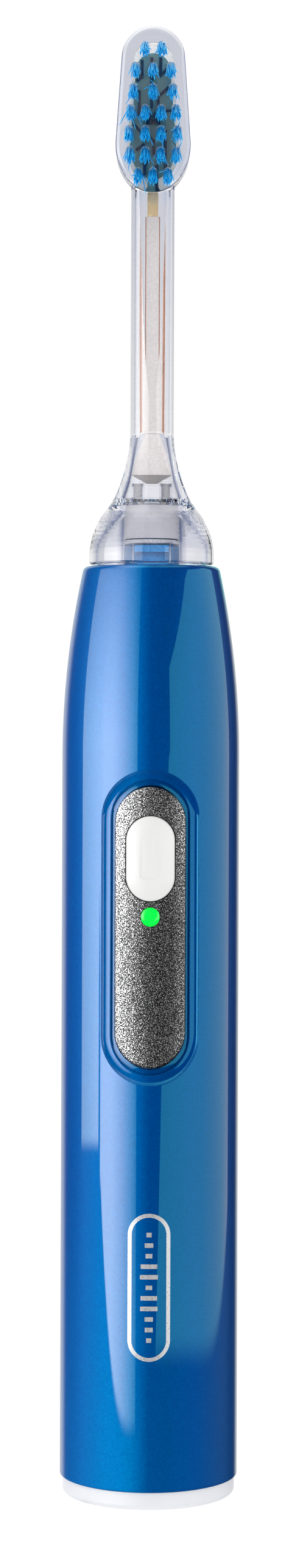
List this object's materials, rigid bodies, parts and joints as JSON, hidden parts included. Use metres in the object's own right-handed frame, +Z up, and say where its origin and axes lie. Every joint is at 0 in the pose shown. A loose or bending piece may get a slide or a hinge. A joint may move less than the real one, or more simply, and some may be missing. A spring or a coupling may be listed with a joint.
{
  "type": "electric toothbrush",
  "caption": "Rechargeable toothbrush: cylindrical sealed handle with a silver control panel, and a clear push-on brush attachment with bristle tufts.",
  "frame": {"origin": "centre of the base cap's resting face", "axes": "+Z up the handle to the brush head; the button and the bristles face -Y; +X is to the right of someone looking at the front"},
  "size_m": [0.028, 0.028, 0.231],
  "materials": {
    "pearl_blue": "metallic pearl paint under clear gloss",
    "white_satin": "satin",
    "black_rubber": "matte",
    "bobbin_nylon": "matte",
    "copper_winding": "lacquered copper wire",
    "lead_insulation": "matte",
    "chassis_grey": "matte moulded",
    "cell_sleeve": "shrink sleeve",
    "cell_card": "matte card",
    "nickel": "satin nickel",
    "board_green": "solder mask",
    "zinc_screws": "zinc plated",
    "chip_black": "matte epoxy",
    "ferrite": "matte",
    "capacitor_can": "sleeved can",
    "led_body": "clear epoxy",
    "green_lens": "lit clear green",
    "silver_panel": "silver with a glitter grain",
    "gasket_foam": "matte foam tape",
    "button_white": "soft gloss",
    "badge_silver": "satin",
    "spigot_blue": "gloss",
    "spigot_silver": "satin silver",
    "bright_ring": "bright",
    "gold_pins": "gold plated",
    "clear_plastic": "clear, polished",
    "potting_white": "cloudy white resin",
    "solder_tab": "tinned brass",
    "carrier_white": "satin",
    "board_teal": "solder mask",
    "track_dark": "printed",
    "piezo_dark": "glazed",
    "bristle_blue": "nylon filaments",
    "anchor_brass": "bright wire"
  },
  "bodies": {
    "handle": {"handle_shell": "pearl_blue", "base_cap": "white_satin", "base_seal": "black_rubber", "coil_bobbin": "bobbin_nylon", "charge_coil": "copper_winding", "coil_leads": "lead_insulation", "chassis": "chassis_grey", "battery_cell": "cell_sleeve", "cell_washer": "cell_card", "cell_tabs": "nickel", "circuit_board": "board_green", "board_screws": "zinc_screws", "driver_chip": "chip_black", "controller_chip": "chip_black", "step_up_core": "ferrite", "step_up_winding": "copper_winding", "filter_capacitors": "capacitor_can", "chip_resistors": "chip_black", "tact_switch": "nickel", "status_led": "led_body", "light_guide": "green_lens", "control_panel": "silver_panel", "panel_gasket": "gasket_foam", "button_seal": "black_rubber", "badge": "badge_silver", "spigot": "spigot_blue", "spigot_sleeve": "spigot_silver", "spigot_ring": "bright_ring", "neck_seal": "black_rubber", "spigot_screws": "zinc_screws", "contact_pins": "gold_pins", "pin_leads": "lead_insulation"},
    "attachment": {"brush_shell": "clear_plastic", "tuft_plate": "clear_plastic", "socket_block": "clear_plastic", "contact_sockets": "nickel", "neck_potting": "potting_white", "lead_wires": "copper_winding", "lead_tab": "solder_tab", "head_carrier": "carrier_white", "head_board": "board_teal", "board_tracks": "track_dark", "piezo_chip": "piezo_dark", "bristle_tufts": "bristle_blue", "tuft_anchors": "anchor_brass"},
    "button": {"power_button": "button_white"},
    "plunger": {"switch_plunger": "chip_black"}
  },
  "joints": [
    {"name": "attachment_pull", "type": "slide", "parent": "handle", "child": "attachment", "axis": [0, 0, 1], "range_m": [0, 0.02]},
    {"name": "button_press", "type": "slide", "parent": "handle", "child": "button", "axis": [0, 1, 0], "range_m": [0, 0.0004], "stiffness_N_per_m": 3000},
    {"name": "plunger_press", "type": "slide", "parent": "handle", "child": "plunger", "axis": [0, 1, 0], "range_m": [0, 0.0004]}
  ],
  "couplings": [
    {"joint": "plunger_press", "follows": "button_press", "ratio": 1}
  ]
}
